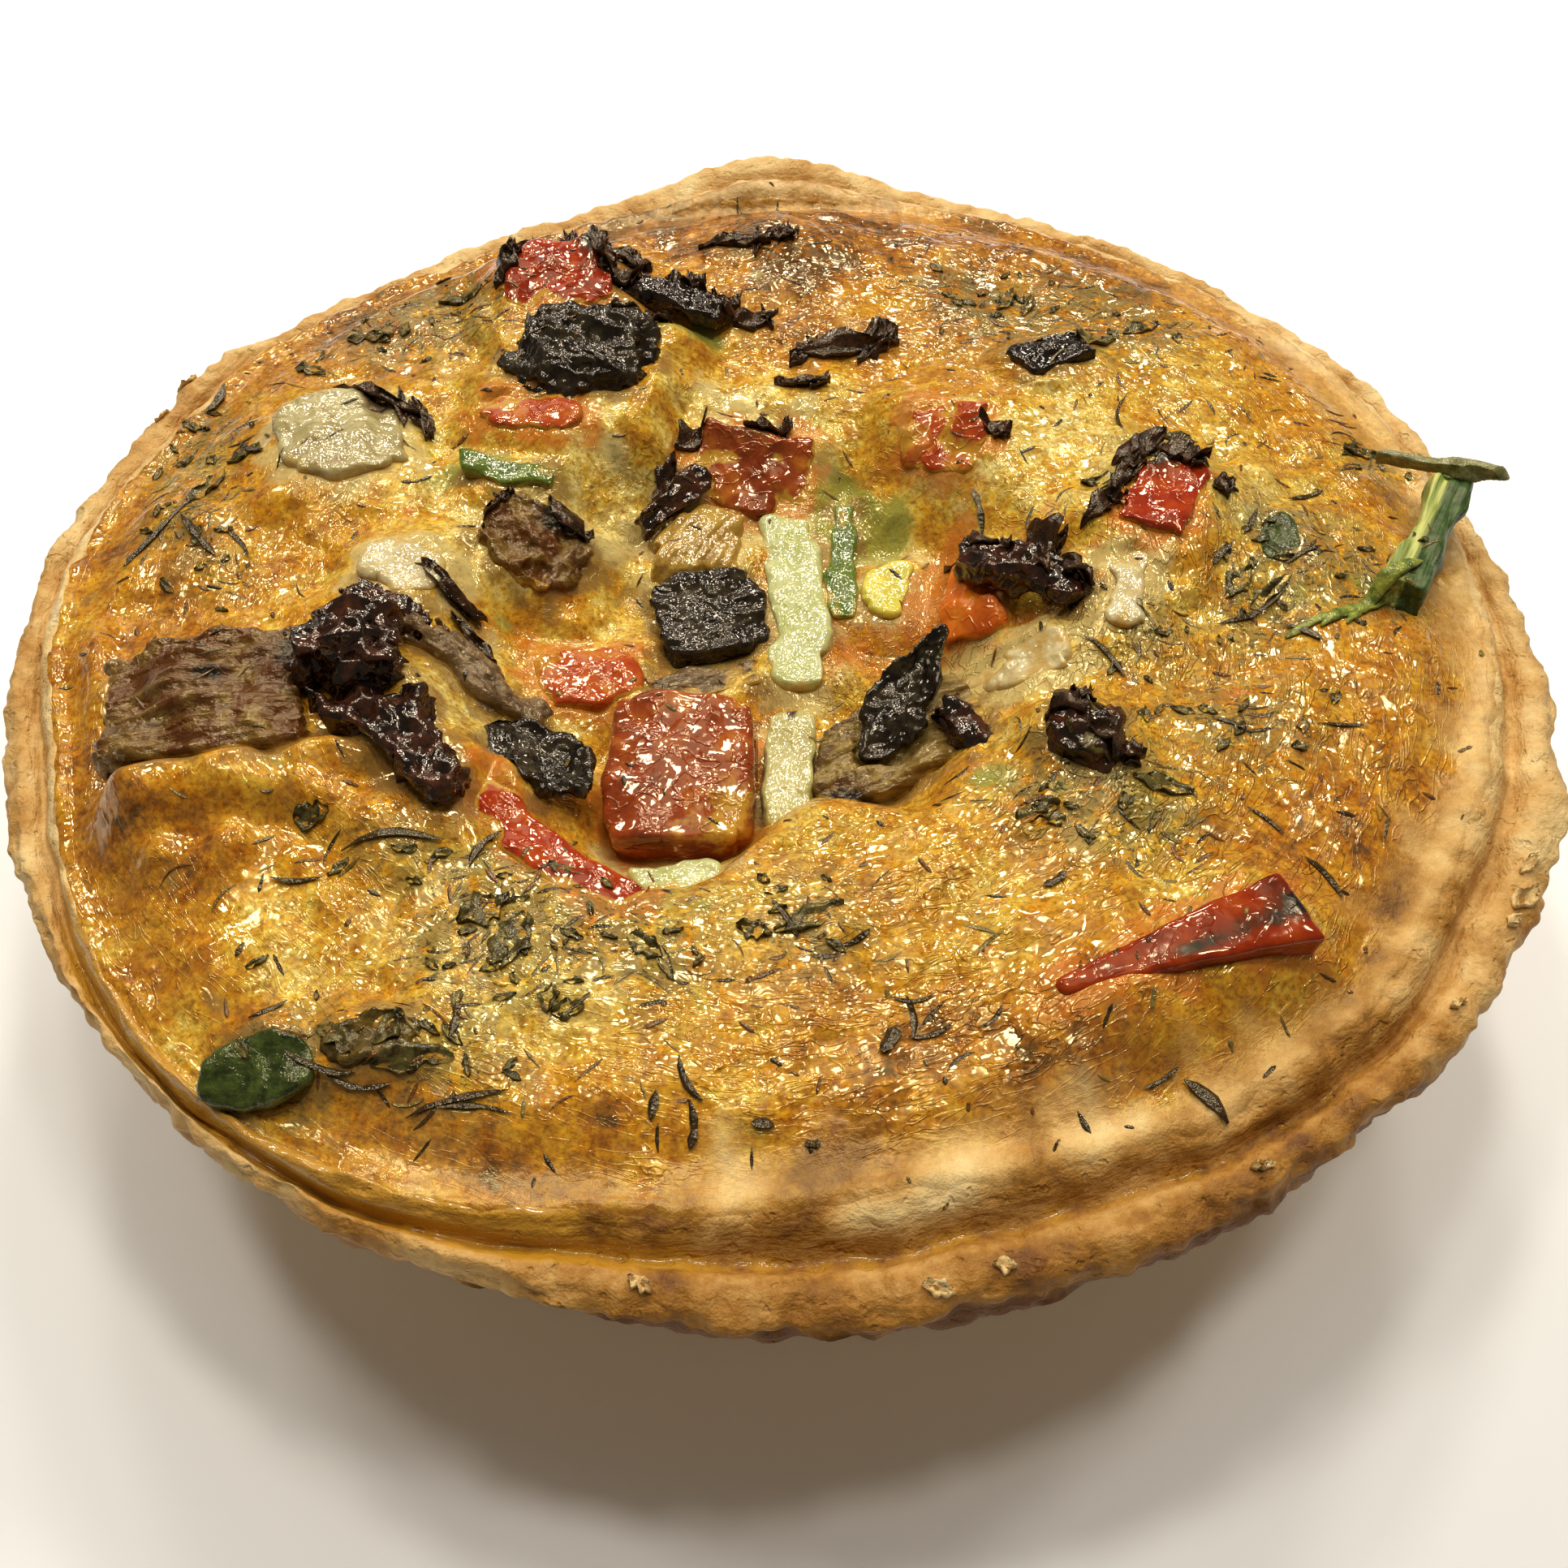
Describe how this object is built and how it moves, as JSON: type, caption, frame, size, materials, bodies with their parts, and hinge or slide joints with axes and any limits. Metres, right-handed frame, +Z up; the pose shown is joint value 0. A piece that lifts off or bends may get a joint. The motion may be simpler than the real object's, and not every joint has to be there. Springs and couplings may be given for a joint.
{
  "type": "mini quiche",
  "caption": "Individual round quiche: flared flaky pastry shell with a layered rim, puffed browned custard, roasted vegetables and dried herbs.",
  "frame": {"origin": "centre of the flat base, on the surface it rests on", "axes": "+Z up out of the filling, -Y towards the serving side with the big pepper square, +X to its right"},
  "size_m": [0.1197, 0.121, 0.0385],
  "materials": {
    "pastry": "baked flaky pastry, matt, pale gold with browned edges",
    "custard": "baked custard skin, oily and wrinkled, golden to brown",
    "pepper": "roasted red pepper, glossy wrinkled skin",
    "onion": "soft cooked onion and courgette flesh, moist",
    "leek": "browned fibrous leek, streaked",
    "char": "charred vegetable skin, black and wrinkled",
    "green": "cooked green leaf, skin and stem"
  },
  "bodies": {
    "root": {"crust": "pastry", "filling": "custard", "pepper_back": "pepper", "onion_dome": "onion", "dome_char": "char", "green_skin": "green", "courgette_strip": "onion", "yellow_chunk": "onion", "grey_shred": "leek", "black_square": "char", "onion_middle": "onion", "leek_piece": "leek", "onion_slice": "onion", "white_bit": "onion", "pepper_square": "pepper", "char_leaf": "char", "char_twist": "char", "pepper_strip": "pepper", "pepper_left": "pepper", "leaf_curl": "char", "grey_strip": "leek", "grey_onion": "onion", "green_strip": "green", "charred_ridge": "leek", "onion_patch": "onion", "small_dark": "char", "leek_slab": "leek", "char_tail": "char", "char_knob": "char", "pepper_under": "pepper", "pepper_upper": "pepper", "dark_oval": "char", "dark_strip": "char", "pepper_pink": "pepper", "dark_bit": "char", "pepper_right": "pepper", "onion_side": "onion", "pepper_orange": "pepper", "orange_char": "char", "olive_curl": "char", "pepper_wedge": "pepper", "green_leaf": "green", "green_stem": "green", "stem_twig": "green", "corner_leaf": "green", "brown_leaf": "leek"}
  },
  "joints": []
}
